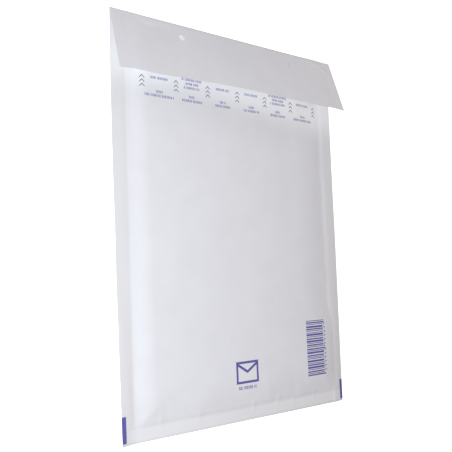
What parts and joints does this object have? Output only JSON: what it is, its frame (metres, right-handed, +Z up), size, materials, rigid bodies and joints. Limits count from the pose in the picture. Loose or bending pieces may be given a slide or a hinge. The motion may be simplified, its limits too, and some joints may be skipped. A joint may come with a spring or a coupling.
{
  "type": "padded envelope",
  "caption": "Flat paper mailing envelope with welded side and bottom seams, a bubble film lining, and a folded flap with punched holding holes and a peel-off glue strip.",
  "frame": {"origin": "on the ground under the middle of the envelope, which lies on its address side", "axes": "+Z up through the back panel, +Y along the length towards the flap's fold, +X across the width"},
  "size_m": [0.2, 0.275, 0.0221],
  "materials": {
    "white_paper": "smooth bleached mailing paper, matt, with small areas of blue print",
    "bubble_film": "clear polyethylene bubble film",
    "release_paper": "siliconed release paper, slightly glossy",
    "blue_ink": "matt blue ink printed on the paper",
    "glue": "pale hot-melt glue under the peel strip"
  },
  "bodies": {
    "root": {"paper_envelope": "white_paper", "bubble_liner": "bubble_film", "peel_strip": "release_paper"}
  },
  "joints": []
}
